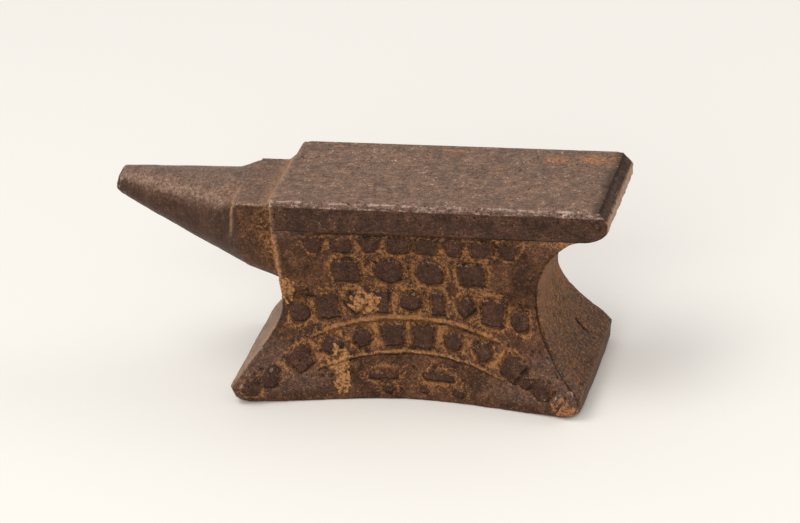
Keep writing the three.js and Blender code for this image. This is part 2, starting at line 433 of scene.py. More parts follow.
class Finish:
    """A material, with its nodes added one at a time."""

    def __init__(self, name):
        self.material = bpy.data.materials.new(name)
        self.material.use_nodes = True
        self.tree = self.material.node_tree
        self.tree.nodes.clear()
        self.place = self.node(
            "ShaderNodeVectorMath", {"operation": "SCALE"},
            {0: self.node("ShaderNodeTexCoord", output="Object"), "Scale": 1 / MM},
        )

    def node(self, kind, settings=None, inputs=None, output=0):
        made = self.tree.nodes.new(kind)
        for name, value in (settings or {}).items():
            setattr(made, name, value)
        for name, value in (inputs or {}).items():
            if isinstance(value, Reading):
                self.tree.links.new(value.socket, made.inputs[name])
            else:
                made.inputs[name].default_value = value
        return None if output is None else Reading(self, made.outputs[output])

    def sum(self, operation, a, b):
        return self.node("ShaderNodeMath", {"operation": operation}, {0: a, 1: b})

    def most(self, a, b):
        return self.sum("MAXIMUM", a, b)

    def mark(self, name):
        return self.node("ShaderNodeAttribute", {"attribute_name": name}, output="Fac")

    def stretched(self, *scale):
        return self.node(
            "ShaderNodeVectorMath", {"operation": "MULTIPLY"}, {0: self.place, 1: scale},
        )

    def cloud(self, size, detail, roughness, place=None, twist=0.0):
        inputs = {
            "Vector": place or self.place, "Scale": 1 / size, "Detail": detail,
            "Roughness": roughness, "Distortion": twist,
        }
        return self.node("ShaderNodeTexNoise", {}, inputs)

    def cells(self, size):
        return self.node("ShaderNodeTexVoronoi", {}, {"Vector": self.place, "Scale": 1 / size})

    def ease(self, value, low, high, floor=0.0, ceiling=1.0):
        return self.node("ShaderNodeMapRange", {"interpolation_type": "SMOOTHSTEP"}, {
            "Value": value, "From Min": low, "From Max": high, "To Min": floor, "To Max": ceiling,
        })

    def blend(self, share, a, b, way="MIX"):
        # A Mix node's colour sockets are its inputs 6 and 7 and its output 2.
        settings = {"data_type": "RGBA", "blend_type": way}
        return self.node("ShaderNodeMix", settings, {0: share, 6: a, 7: b}, output=2)

    def shade(self, colour, value):
        """A colour made darker or lighter by a value."""
        return self.blend(1.0, colour, value, "MULTIPLY")

    def close(self, colour, metallic, roughness, shine, height=None):
        """Ends the material and returns it."""
        inputs = {
            "Base Color": colour, "Metallic": metallic, "Roughness": roughness,
            "Specular IOR Level": shine,
        }
        if height is not None:
            inputs["Normal"] = self.node(
                "ShaderNodeBump", {},
                {"Strength": 1.0, "Distance": TEXTURE_HEIGHT * MM, "Height": height},
            )
        shader = self.node("ShaderNodeBsdfPrincipled", {}, inputs)
        self.node("ShaderNodeOutputMaterial", {}, {"Surface": shader}, output=None)
        return self.material


# The colour of the painted glints: bright specks painted in as highlights.
PAINTED_GLINT = linear(206, 186, 168)


def iron_finish(name, *, skin, deep, grain, rub_and_highlight, gloss, metal, mottle, pits, painted_glints):
    """Old cast iron: patina, grime and painted shade, rust, scale, rubbed metal and painted highlights
    over one another.

    skin and deep are its patina colours, grain makes its fine texture, rub_and_highlight is where wear
    and painted highlights start to show and are complete, gloss is its roughness and metal how metallic
    it is, and mottle, pits and painted_glints are the strengths of its uneven colour, pits and
    painted glints, bright specks painted in as highlights.
    """
    def frayed(mark, by_fine, by_dust, low, high):
        """The strength of a mark, with its edge broken up by two of the noises."""
        strength = shop.mark(mark) + (fine - 0.5) * by_fine + (dust - 0.5) * by_dust
        return shop.ease(strength, low, high)

    shop = Finish(name)
    tones = colours()
    coarse = shop.cloud(6.0, 4.0, 0.6, twist=0.4)
    middle = shop.cloud(2.2, 3.0, 0.6)
    fine = shop.cloud(0.8, 4.0, 0.65)
    dust = shop.cloud(0.3, 3.0, 0.6)
    texture = grain(shop)

    patina = shop.blend(shop.ease(coarse, 0.35, 0.65), deep, skin)
    polish = shop.mark("polish")
    worked = shop.blend(shop.ease(middle + coarse * 0.5, 0.6, 0.95), tones.face, tones.warm_face)
    patina = shop.blend(polish, patina, worked)
    patina = shop.blend(shop.mark("plum") * 0.85, patina, tones.plum)
    patina = shop.blend(shop.mark("smooth") * 0.9, patina, tones.mark)
    for spots, low, dark, pale in (
        (middle, 0.3, 0.18, 0.2), (fine, 0.25, 0.45, 0.5), (dust, 0.3, 0.45, 0.5),
    ):
        spread = shop.ease(spots, low, 1 - low, 1 - dark * mottle, 1 + pale * mottle)
        patina = shop.shade(patina, spread)
    patina = shop.shade(patina, shop.ease(texture, 0.0, 1.0, 0.76, 1.24))
    patina = shop.blend(shop.mark("tan") * shop.ease(fine, 0.2, 0.6), patina, tones.tan)

    grit = shop.cells(0.65)
    speckle = shop.ease(dust * 0.5 + fine * 0.5, 0.35, 0.65, 0.55, 1.4)
    ochre = frayed("ochre", 1.6, 1.0, 0.25, 0.85)
    patina = shop.blend(ochre * 0.9, patina, shop.shade(tones.ochre, speckle))
    orange = frayed("orange", 1.3, 0.7, 0.3, 0.8)
    patina = shop.blend(orange * 0.85, patina, shop.shade(tones.orange, speckle))
    crust = frayed("crust", 0.9, 0.4, 0.3, 0.6)
    grains = shop.blend(shop.ease(grit + (dust - 0.5) * 0.7, 0.3, 0.95), tones.crust, tones.brown)
    patina = shop.blend(crust * 0.85, patina, grains)

    # Grime and painted shade darken the patina here.
    dirt_and_shade_share = shop.ease(shop.mark("dirt_and_shade") + (fine - 0.5) * 0.4, 0.1, 0.9)
    patina = shop.shade(patina, 1 - dirt_and_shade_share * 0.6)
    pit = shop.ease(shop.cells(1.2), 0.26, 0.1) * shop.ease(coarse, 0.42, 0.6)
    patina = shop.shade(patina, 1 - pit * pits)

    # Painted glints: bright specks painted in as highlights, strongest on polished places.
    painted_glint = shop.ease(shop.cells(1.1) + dust * 0.16, 0.3, 0.2) * shop.ease(middle, 0.48, 0.64)
    patina = shop.blend(painted_glint * painted_glints * (0.2 + polish * 0.8), patina, PAINTED_GLINT)

    # Rubbed metal and painted highlights both take the pale colour here.
    bare_and_highlight = frayed("wear_and_highlight", 0.9, 0.5, *rub_and_highlight)
    patina = shop.blend(bare_and_highlight * 0.8, patina, tones.bare_and_highlight)

    rust = shop.most(shop.most(ochre, orange), crust)
    metallic = metal + bare_and_highlight * 0.35 - rust * 0.2
    roughness = gloss + rust * 0.3 - bare_and_highlight * 0.08 + (fine - 0.5) * 0.3 + dirt_and_shade_share * 0.15
    roughness = roughness - shop.mark("smooth") * 0.06 - shop.mark("plum") * 0.08
    height = fine * 0.7 + dust * 0.5 + texture * 0.35 - pit * pits + crust * grit * 0.8
    return shop.close(patina, metallic, roughness, IRON_SHINE, height)


def sand_grain(shop):
    """Fine casting sand."""
    return shop.ease(shop.cells(0.35), 0.0, 0.8)


def planed_grain(shop):
    """Fine lines along the length of the face."""
    lines = shop.cloud(0.35, 3.0, 0.6, place=shop.stretched(0.14, 1.0, 1.0))
    return shop.ease(lines, 0.15, 0.85)


def filed_grain(shop):
    """Faint soft rings of filing round the horn."""
    lines = shop.cloud(0.5, 2.0, 0.5, place=shop.stretched(1.0, 0.15, 0.15))
    return shop.ease(lines, 0.0, 1.0)


# ---- Body ----


def horn_end(z):
    flare = clamp((HORN_FLARE_TOP - z) / (HORN_FLARE_TOP - FOOT + 1)) ** HORN_FLARE_POWER
    return HORN_END - HORN_FLARE * flare


def heel_end(z):
    below = HEEL_WAIST + HEEL_FLARE * clamp((WAIST - z) / (WAIST - FOOT)) ** HEEL_FLARE_POWER
    share = clamp((z - WAIST) / (TOP - WAIST))
    above = HEEL_WAIST + SCOOP_REACH * (1 - (1 - share ** 2) ** SCOOP_POWER)
    return np.where(z < WAIST, below, above)


def half_depth(z, depths, curve):
    foot, waist, top = depths
    foot_power, foot_level, top_power = curve
    below = mix(waist, foot, clamp((WAIST - z) / (WAIST - foot_level)) ** foot_power)
    above = mix(waist, top, clamp((z - WAIST) / (TOP - WAIST)) ** top_power)
    return np.where(z < WAIST, below, above)


def sole_tuck(z, corner):
    """How far the foot draws in towards the ground. corner is 1 at a toe, 0 between toes."""
    radius = mix(SOLE_RADIUS, TOE_BALL, corner ** 4)
    drop = clamp(1 - z / radius)
    return radius * (1 - np.sqrt(1 - drop ** 2)) + TOE_LEAN * clamp(1 - z / FOOT)


def body_rule(unit):
    """Places the points of a unit cube on the plain body, with its grid finer near the edges."""
    rise = unit[:, 2] / 2 + 0.5
    z = TOP * mix(rise, 0.5 - 0.5 * np.cos(np.pi * rise), 0.5)
    u = np.sign(unit[:, 0]) * (1 - (1 - np.abs(unit[:, 0])) ** 1.25)
    v = unit[:, 1]
    low = horn_end(z)
    high = heel_end(z)
    half_length = (high - low) / 2 - sole_tuck(z, np.abs(v))
    sweep = np.abs(u) ** PLAN_POWER
    middle = half_depth(z, MIDDLE_DEPTHS, MIDDLE_CURVE)
    corner = half_depth(z, CORNER_DEPTHS, CORNER_CURVE)
    depth = mix(middle, corner, sweep) - mix(0.6, 1.0, sweep) * sole_tuck(z, np.abs(u))
    radius = mix(TOE_RADIUS, RIDGE_RADIUS, clamp((z - FOOT / 2) / FOOT))
    x, y = round_corner(u * half_length, v * depth, half_length, depth, radius)
    return np.stack([(high + low) / 2 + x, y, z], axis=1)


def block(top, bottom, height):
    """A four-sided mark with its own width at the top and the bottom."""
    half = height / 2
    return [(-bottom / 2, -half), (bottom / 2, -half), (top / 2, half), (-top / 2, half)]


def lozenge(width, height):
    return [(0, -height / 2), (width / 2, 0), (0, height / 2), (-width / 2, 0)]


def from_outline(x, z, shape):
    """Distance from a mark's outline, negative inside. A number is a disc's diameter."""
    if isinstance(shape, float):
        return np.hypot(x, z) - shape / 2
    away = np.full(len(x), -1e9)
    for (ax, az), (bx, bz) in zip(shape, shape[1:] + shape[:1]):
        side = math.hypot(bx - ax, bz - az)
        away = np.maximum(away, ((bz - az) * (x - ax) - (bx - ax) * (z - az)) / side)
    return away


LOW_BOSS = BOSS_HEIGHT * 0.72
WEDGE = block(BOSS_WIDTH, BOSS_WIDTH * 0.45, LOW_BOSS)
BAR = block(BOSS_WIDTH * 0.9, BOSS_WIDTH * 0.9, LOW_BOSS)
SQUARE = block(BOSS_WIDTH, BOSS_WIDTH, BOSS_HEIGHT)
DIAMOND = lozenge(BOSS_WIDTH * 1.05, BOSS_HEIGHT)
TALL = block(BOSS_WIDTH * 0.55, BOSS_WIDTH * 0.55, BOSS_HEIGHT)
KEY = block(BOSS_WIDTH * 1.05, BOSS_WIDTH * 0.75, BOSS_HEIGHT * 0.95)
BROAD = block(BOSS_WIDTH * 1.2, BOSS_WIDTH * 1.2, BOSS_HEIGHT)
FOOT_MARK = block(BOSS_WIDTH * 1.4, BOSS_WIDTH * 1.4, BOSS_HEIGHT * 0.34)

# Rows of marks from the top down: middle, crown, spread, fall, count, lean and shapes.
ROWS = (
    (3, 42.2, 24.2, 0, 8, 0, (WEDGE, BAR)),
    (1.5, 34.4, 15.6, 0, 4, 0, (BROAD, BOSS_HEIGHT * 1.12)),
    (1, 25.9, 27.5, 3.2, 9, 0.12, (BOSS_HEIGHT * 0.8, SQUARE, DIAMOND, TALL)),
    (0, 17.2, 34, 10.2, 10, 0.75, (BOSS_HEIGHT * 0.75, KEY, DIAMOND)),
    (0.6, 6.8, 7.0, 0, 2, 0, (FOOT_MARK,)),
    (3.5, 3.4, 9.0, 0.4, 3, 0, (2.6, 2.2)),
)
# Place and width of the lumps on the feet.
KNOBS = ((-38.8, 4.8, 4.4), (29.6, 8.4, 3.0))
CURVED_ROW = ROWS[3]
# The thin lines over and under the curved row: height over its middle, and width.
ARCHES = ((4.3, 0.85), (-4.4, 0.7))


def mark_places():
    """The middle, turn and shape of every raised mark."""
    for middle, crown, spread, fall, count, lean, shapes in ROWS:
        for i in range(count):
            t = 2 * i / (count - 1) - 1
            shape = shapes[min(i, count - 1 - i) % len(shapes)]
            turn = -lean * math.copysign(abs(t) ** 1.2, t)
            yield middle + spread * t, crown - fall * abs(t) ** 2.2, turn, shape
    for x, z, across in KNOBS:
        yield x, z, 0.0, across


def raised_marks(points):
    """1 on the flat of a mark, fading to 0 over its soft worn edge."""
    raised = np.zeros(len(points))
    rough = 0.34 * ripple(points, 1.9, 1) + 0.18 * ripple(points, 0.8, 2)
    for x, z, turn, shape in mark_places():
        near = (points[:, 1] < 0) & (np.hypot(points[:, 0] - x, points[:, 2] - z) < 6)
        across = points[near, 0] - x
        up = points[near, 2] - z
        c, s = math.cos(turn), math.sin(turn)
        away = from_outline(c * across + s * up, c * up - s * across, shape) + rough[near]
        domed = 0.74 * ease(0.24, -0.26, away) + 0.26 * ease(0.2, -2.2, away)
        raised[near] = np.maximum(raised[near], domed)
    return raised


def arch_lines(points):
    """1 on the two thin raised lines over and under the curved row of marks."""
    middle, crown, spread, fall = CURVED_ROW[:4]
    across = np.abs(points[:, 0] - middle) / spread
    waver = 0.35 * ripple(points, 3.0, 61) + 0.2 * ripple(points, 1.0, 62)
    lines = np.zeros(len(points))
    for height, width in ARCHES:
        level = crown + height - fall * across ** 2.2
        line = ease(width, 0.2 * width, np.abs(points[:, 2] - level + waver))
        lines = np.maximum(lines, line * ease(0.8, 0.55, across))
    return lines * (points[:, 1] < 0)


# A gash and a crack at the heel end, as their ends, then crusts of scale, as their middles
# and radii.
GASH = ((37.7, 6.0, 13.7), (40.6, 6.6, 9.7))
TOE_CRACK = ((37.2, -21.0, 2.0), (40.2, -21.3, 6.2))
BODY_CRUSTS = (
    ((-29.8, -13.5, 28.6), (2.2, 3.0, 3.4)),
    ((-17.2, -15.4, 10.6), (2.6, 3.0, 3.8)),
    ((-16.6, -15.9, 5.2), (1.9, 3.0, 3.2)),
    ((-10.0, -12.5, 25.2), (4.0, 3.0, 2.6)),
)


def make_body():
    casting = Casting("anvil_body", capped_cube(*BODY_CUTS), body_rule)
    base = casting.base
    front = ease(-0.35, -0.8, casting.normals()[:, 1]) * ease(0.0, -4.0, base[:, 1])
    raised = raised_marks(base) * front
    lines_up = arch_lines(base) * front * (1 - raised)
    level = 0.9 + 0.2 * ripple(base, 6.0, 3)
    casting.push(sizes().relief / MM * (raised * level + 0.36 * lines_up), (0, -1, 0))

    casting.roughen((2.0, 8.0, 4), (1.1, 2.6, 5))
    casting.roughen((0.8, 1.1, 6), (0.5, 0.6, 7))
    pitted = ease(0.1, 0.5, ripple(base, 9.0, 8))
    casting.push(-0.22 * ease(0.34, 0.1, crackle(base, 2.1, 1)) * pitted)

    crust = patches(base, BODY_CRUSTS, 0.55, 9)
    grains = ease(0.55, 0.05, crackle(base, 1.0, 2))
    casting.push(crust * (0.12 + 0.3 * grains))

    gash = scratch(base, *GASH, 0.95, 10)
    crack = scratch(base, *TOE_CRACK, 0.5, 11)
    casting.push(-0.8 * gash - 0.6 * crack)
    # A shallow crease runs down beside each ridge at the heel end.
    x, y, z = base.T
    crease = ease(0.55, 0.1, np.abs(x - heel_end(z) + 0.5))
    crease = crease * ease(10, 12, np.abs(y)) * ease(2, 5, z) * ease(34, 26, z)
    casting.push(-0.25 * crease)

    # Knocks along the ridges, the toes and the rim of the foot.
    ridge = ease(0.02, 0.3, -casting.hollows(14))
    knocks = ease(0.15, 0.6, ripple(base, 2.4, 12))
    casting.push(-0.35 * ridge * knocks)

    edges = ease(0.03, 0.22, -casting.hollows(8))
    # The dips darken partly as grime and partly as painted shade.
    dips = ease(0.02, 0.2, casting.hollows(12)) + 0.6 * ease(0.05, 0.3, casting.hollows(40))
    crown = ease(0.2, 0.6, raised)
    around = casting.soften(raised, 90)
    pads = ease(-15.5, -18.0, y) * ease(1.5, 4.0, z)
    bed = ease(0.02, 0.26, around) * (1 - crown) * front * (1 - 0.55 * pads)
    low_rows = 0.7 + 0.3 * ease(42, 26, z)
    left_ridge = ease(1.8, 0.3, np.abs(x - HORN_END)) * ease(25, 30, z) * ease(-10, -13, y)
    toe = patch(base, (39.2, -20.6, 3.0), (3.6, 4.0, 2.6), 0.5, 13)
    gash_edge = casting.soften(gash, 6)
    facing = casting.normals()
    # Painted light on the raised marks: painted shade along their lower edges and a painted highlight
    # along their upper edges, from how their faces tilt.
    tilt = (facing[:, 2] - casting.soften(facing[:, 2], 60)) * front
    marks_underside_shade = ease(0.05, 0.28, -tilt)
    marks_top_highlight = ease(0.08, 0.4, tilt) * (1 - 0.8 * lines_up)
    scoop = ease(0.3, 0.8, facing[:, 0]) * ease(20, 26, x)
    # Painted highlight: faces of the horn-end flare that turn towards the horn end are painted light
    # tan.
    flare = ease(0.3, 0.7, -facing[:, 0]) * ease(-30.5, -32.5, x) * ease(1.0, 4.0, z)
    upper = ease(8, 30, z)
    lines = ease(-0.3, 0.5, ripple(base * (1.0, 1.0, 0.09), 0.8, 14))
    streaks = lines * scoop * upper
    under_band = ease(3.2, 0.6, TOP - z) * ease(20, 26, x) * front
    feet = ease(-15, -18, y) * ease(30, 36, np.abs(x)) * ease(3, 6, z)
    # The rubbed places on the feet are painted lighter, partly as wear and partly as a painted
    # highlight.
    rubs_and_highlights = ease(0.25, 0.6, ripple(base, 1.3, 18)) * feet
    casting.mark(
        wear_and_highlight=0.5 * edges * (1 - 0.7 * raised) * (1 - scoop) + 0.26 * marks_top_highlight
        + 0.25 * left_ridge + 0.22 * streaks + 0.45 * rubs_and_highlights
        + 0.6 * toe * ease(0.1, 0.5, ripple(base, 0.9, 19)),
        dirt_and_shade=dips * 0.7 + 0.8 * gash + crack + 0.9 * crease + 0.85 * marks_underside_shade,
        ochre=bed * low_rows * (0.6 + 0.4 * ripple(base, 5.0, 15) + 0.4 * ripple(base, 1.9, 35))
        + 0.4 * under_band + scoop * (0.24 * upper * (0.5 + lines) + 0.38)
        + 0.16 * front * (1 - crown) + 0.6 * lines_up,
        orange=0.6 * left_ridge + 0.6 * toe + 0.9 * gash_edge * (1 - 0.7 * gash)
        + 0.2 * lines_up * (1 + ripple(base, 2.0, 63)),
        crust=crust,
        plum=0.6 * pads * (1 - crown),
        smooth=crown * (0.85 + 0.4 * ripple(base, 2.0, 17)) + 0.4 * scoop * (1 - upper)
        + 0.25 * front * ease(4.0, 1.5, z),
        tan=flare * (0.75 + 0.4 * ripple(base, 3.0, 20)) + 0.5 * left_ridge,
    )
    tones = colours()
    finish = iron_finish(
        "brown cast iron", skin=tones.brown, deep=tones.dark, grain=sand_grain,
        rub_and_highlight=(0.3, 0.8), gloss=0.48, metal=0.18, mottle=0.85, pits=0.5, painted_glints=0.7,
    )
    # Nothing goes below the ground.
    casting.points[:, 2] = np.maximum(casting.points[:, 2], 0.0)
    return casting.finish(finish, "body", "body_iron")


# ---- Face plate and its plug ----


def plate_heel_end(z):
    """The heel end of the plate at a height: rounded underside, end face and chamfer."""
    share = np.linspace(0, 1, 24)
    start, bend, end = (1 - share) ** 2, 2 * share * (1 - share), share ** 2
    (low_x, low_z), (high_x, high_z) = END_FACE
    curve_x = start * UNDER_START + bend * UNDER_BEND[0] + end * low_x
    curve_z = start * TOP + bend * UNDER_BEND[1] + end * low_z
    outline_z = [*curve_z, high_z, PLATE_HIGH[2]]
    outline_x = [*curve_x, high_x, high_x - HEEL_CHAMFER]
    return np.interp(z, outline_z, outline_x)


def plate_rule(unit):
    """Places the points of a unit cube on the face plate."""
    x_share = unit[:, 0] / 2 + 0.5
    half = PLATE_HIGH[1]
    thick = (PLATE_HIGH[2] - TOP) / 2
    # A sine crowds the grid lines towards the edges.
    crowding = 1.2
    y = half * np.sin(unit[:, 1] * crowding) / math.sin(crowding)
    level = thick * np.sin(unit[:, 2] * crowding) / math.sin(crowding)
    rough_x = mix(PLATE_LOW[0], PLATE_HIGH[0], x_share)
    line = np.stack([rough_x, np.zeros_like(y), np.zeros_like(y)], axis=1)
    wear = sizes().edge_wear / MM * (1 + 0.2 * ripple(line, 7.0, 21) + 0.1 * ripple(line, 1.9, 22))
    near_top = (y < 0) & (level > 0)
    radius = np.where(near_top, wear, PLATE_EDGE)
    y, level = round_corner(y, level, half, thick, radius, PLATE_EDGE_POWER)
    z = TOP + thick + level
    length = plate_heel_end(z) - PLATE_LOW[0]
    along = (x_share - 0.5) * length
    # The two far corners are rounded in plan.
    along, y = round_corner(along, y, length / 2, half, PLATE_CORNER, where=y > 0)
    x = PLATE_LOW[0] + length / 2 + along
    return np.stack([x, y, z], axis=1)


# Rust spots on the face, as their middles and radii.
FACE_STAINS = (
    ((34.0, 11.2, 54.0), (4.0, 2.4, 2.0)),
    ((44.0, 12.0, 54.0), (4.6, 3.0, 2.0)),
    ((22.0, 5.0, 54.0), (2.0, 0.9, 2.0)),
    ((-20.0, 14.6, 54.0), (3.0, 0.8, 2.0)),
    ((9.0, 14.4, 54.0), (4.0, 0.8, 2.0)),
)


def make_face():
    casting = Casting("anvil_face", cut_cube(*PLATE_CUTS), plate_rule)
    base = casting.base
    x, y, z = base.T
    top = ease(-0.6, 0.3, z - PLATE_HIGH[2] + 0.3)
    heel = ease(46.5, 50.5, x)
    facing = casting.normals()
    near_edge = ease(0.2, 0.4, -facing[:, 1]) * ease(0.2, 0.4, facing[:, 2])
    side = 1 - top
    casting.roughen((1.0, 5.0, 23), (0.8, 1.5, 24), share=0.25 + 0.9 * side)
    chips = ease(0.2, 0.65, ripple(base * (0.4, 0.6, 0.6), 1.1, 25))
    nicks = ease(0.5, 0.1, crackle(base, 1.0, 26))
    casting.push(-0.16 * near_edge * chips - 0.1 * near_edge * nicks)
    dents = ease(0.3, 0.08, crackle(base, 2.6, 27)) * ease(0.15, 0.5, ripple(base, 7.0, 28))
    casting.push(-0.14 * top * dents)
    casting.push(0.18 * heel * side * ripple(base, 1.2, 29))
    around_plug = np.hypot(x - PLUG_CENTRE[0], y - PLUG_CENTRE[1])
    groove = ease(0.6, 0.1, np.abs(around_plug - PLUG_RADIUS)) * top
    groove = groove * ease(1.5, -1.0, y - PLUG_CENTRE[1])
    sunk = ease(PLUG_RADIUS, PLUG_RADIUS - 0.5, around_plug) * top
    casting.push(-0.12 * groove - 0.5 * sunk)

    edges = ease(0.02, 0.15, -casting.hollows(6))
    # The dips darken partly as grime and partly as painted shade.
    dips = ease(0.01, 0.12, casting.hollows(8))
    end_face = ease(0.4, 0.8, facing[:, 0]) * ease(49, 50, x) * ease(52.2, 51.6, z)
    heel_chamfer = ease(0.25, 0.45, facing[:, 0]) * ease(51.4, 51.9, z)
    near_heel = ease(46.8, 49.8, x + 0.4 * ripple(base, 1.5, 64)) * top
    stains = patches(base, FACE_STAINS, 0.5, 30)
    horn_edge = ease(1.2, 0.2, x - PLATE_LOW[0])
    scuffs = ripple(base * (0.4, 1.0, 1.0), 0.6, 32)
    # Painted shade on faces of the plate that turn partly forwards and not upwards, mostly along its
    # lower rounded edge.
    lip_shade = ease(0.06, 0.2, -facing[:, 1]) * ease(0.97, 0.9, -facing[:, 1])
    lip_shade = lip_shade * ease(0.3, 0.16, facing[:, 2])
    flat = 0.2 + 0.16 * ripple(base, 5.0, 31)
    casting.mark(
        wear_and_highlight=np.where(top > 0.5, flat, 0) * (1 - heel_chamfer) + 0.3 * edges * side
        + 0.35 * end_face + 0.3 * horn_edge + near_edge * (0.3 + 0.5 * scuffs + 0.4 * chips)
        + 0.5 * near_edge * edges,
        dirt_and_shade=0.6 * dips + 0.7 * groove + 0.45 * near_heel + 0.22 * heel_chamfer + 0.6 * lip_shade
        + 0.16 * top * ease(-10, 45, x),
        orange=0.5 * stains + 0.05 * top,
        ochre=0.3 * end_face * ease(51.5, 49.0, z) + 0.1 * near_edge * chips,
        plum=0.7 * near_edge,
        polish=(top + 0.3 * near_edge + 0.4 * end_face) * (1 - 0.8 * heel_chamfer)
        * (1 - 0.4 * near_heel),
        tan=0.9 * end_face + 0.25 * horn_edge,
    )
    finish = iron_finish(
        "worn face iron", skin=linear(80, 55, 42), deep=linear(58, 40, 31), grain=planed_grain,
        rub_and_highlight=(0.3, 0.9), gloss=0.44, metal=0.3, mottle=0.85, pits=0.9, painted_glints=1.2,
    )
    return casting.finish(finish, "face_plate", "face_iron")


PLUG_CENTRE = (PLUG_LOW + PLUG_HIGH) / 2
PLUG_RADIUS = (PLUG_HIGH[0] - PLUG_LOW[0]) / 2
PLUG_GAP = 0.12
PLUG_SINK = 0.1
# The plug's outline, as shares of its radius and depth.
PLUG_PROFILE = (
    (0.0, 1.0), (0.2, 1.0), (0.4, 1.0), (0.6, 1.0), (0.78, 0.995), (0.9, 0.985),
    (0.97, 0.965), (1.0, 0.93), (1.0, 0.6), (1.0, 0.06), (0.94, 0.0), (0.0, 0.0),
)


def make_plug():
    """The round plug that fills the small hole, a hair below the face."""
    def rule(unit):
        reach = PLUG_RADIUS - PLUG_GAP
        place = unit * (reach, reach, PLUG_HIGH[2] - PLUG_LOW[2] - PLUG_SINK)
        return place + (PLUG_CENTRE[0], PLUG_CENTRE[1], PLUG_LOW[2])

    bm = turned([(across, 0.0, up) for across, up in PLUG_PROFILE], (0, 0, 1), PLUG_STEPS)
    casting = Casting("anvil_plug", bm, rule)
    base = casting.base
    casting.push(0.03 * ripple(base, 1.2, 33))
    up_y = base[:, 1] - PLUG_CENTRE[1]
    away = np.hypot(base[:, 0] - PLUG_CENTRE[0], up_y)
    # Painted highlight: a bright streak across the plug; painted shade on the near half of its rim.
    lit = ease(0.9, 0.1, np.abs(up_y - 1.2 + 0.4 * ripple(base, 1.5, 34)))
    casting.mark(
        wear_and_highlight=0.38 + 0.5 * lit + 0.1 * ripple(base, 1.0, 34), polish=np.ones(len(base)),
        dirt_and_shade=0.7 * ease(PLUG_RADIUS - 0.7, PLUG_RADIUS - 0.1, away) * ease(0.6, -0.8, up_y),
    )
    tones = colours()
    finish = iron_finish(
        "plug iron", skin=tones.brown, deep=tones.brown, grain=planed_grain,
        rub_and_highlight=(0.25, 0.8), gloss=0.4, metal=0.35, mottle=0.7, pits=0.2, painted_glints=0.4,
    )
    return casting.finish(finish, "face_plug", "plug_iron")


# ---- Step and horn ----


def step_bottom(x):
    return STEP_ROOT_BOTTOM + STEP_SLOPE * (STEP_HIGH[0] - x)


def step_rule(unit):
    """Places the points of a unit cube on the step, with its flat top and round underside."""
    x = mix(STEP_LOW[0], STEP_HIGH[0] + STEP_OVERLAP, unit[:, 0] / 2 + 0.5)
    across = np.sin(unit[:, 1] * math.pi / 2)
    hang = np.maximum(1 - np.abs(across) ** STEP_POWER, 0) ** (1 / STEP_POWER)
    under = mix(STEP_SIDE_BOTTOM, step_bottom(x), hang)
    up = unit[:, 2] / 2 + 0.5
    z = mix(under, STEP_HIGH[2], up)
    y = across * STEP_HIGH[1]
    # The top edges are rounded.
    half_height = (STEP_HIGH[2] - STEP_SIDE_BOTTOM) / 2
    middle = STEP_HIGH[2] - half_height
    y, level = round_corner(
        y, z - middle, STEP_HIGH[1], half_height, STEP_EDGE, where=z > middle,
    )
    z = middle + level
    return np.stack([x, y, z], axis=1)


def make_step():
    casting = Casting("anvil_step", cut_cube(*STEP_CUTS), step_rule)
    base = casting.base
    x, y, z = base.T
    # Coves run out on to the body and up to the plate.
    to_body = ease(2.2, 0.0, STEP_HIGH[0] - x) ** 2
    sideways = ease(0.4, 0.9, np.abs(casting.normals()[:, 1]))
    casting.push(0.9 * to_body * sideways * ease(45, 30, z))
    to_plate = ease(3.2, 0.2, STEP_HIGH[0] - x) ** 2 * ease(50.5, 51.0, z)
    casting.push(1.5 * to_plate, (0, 0, 1))
    casting.roughen((1.3, 4.0, 41), (0.9, 1.2, 42))
    pitted = ease(0.1, 0.5, ripple(base, 6.0, 44))
    casting.push(-0.15 * ease(0.3, 0.08, crackle(base, 2.0, 43)) * pitted)

    edges = ease(0.02, 0.16, -casting.hollows(7))
    # The dips darken partly as grime and partly as painted shade.
    dips = ease(0.02, 0.16, casting.hollows(10))
    top = ease(50.2, 50.9, z)
    facing = casting.normals()
    rust_top = top * ease(-36.5, -33.0, x + 1.2 * ripple(base, 2.0, 45))
    seam = ease(1.5, 0.5, STEP_HIGH[0] - x) * (1 - top)
    near_line = ease(0.25, 0.7, facing[:, 2]) * ease(0.9, 0.5, facing[:, 2]) * ease(-10, -12, y)
    casting.mark(
        wear_and_highlight=0.2 * edges + 0.2 * top + 0.45 * near_line,
        dirt_and_shade=0.4 * dips,
        orange=0.38 * rust_top + 0.45 * seam,
        ochre=0.3 * ease(-38, -33, x) * (1 - top) + 0.5 * seam + 0.1,
        plum=0.2 * top * (1 - rust_top),
        polish=0.8 * top,
        tan=ease(0.15, 0.5, to_plate) * (0.9 + 0.4 * ripple(base, 2.5, 46))
        + 0.3 * seam + 0.3 * rust_top,
    )
    tones = colours()
    finish = iron_finish(
        "step iron", skin=tones.brown, deep=tones.dark, grain=sand_grain,
        rub_and_highlight=(0.3, 0.8), gloss=0.46, metal=0.25, mottle=0.9, pits=0.4, painted_glints=0.4,
    )
    return casting.finish(finish, "table", "body_iron")


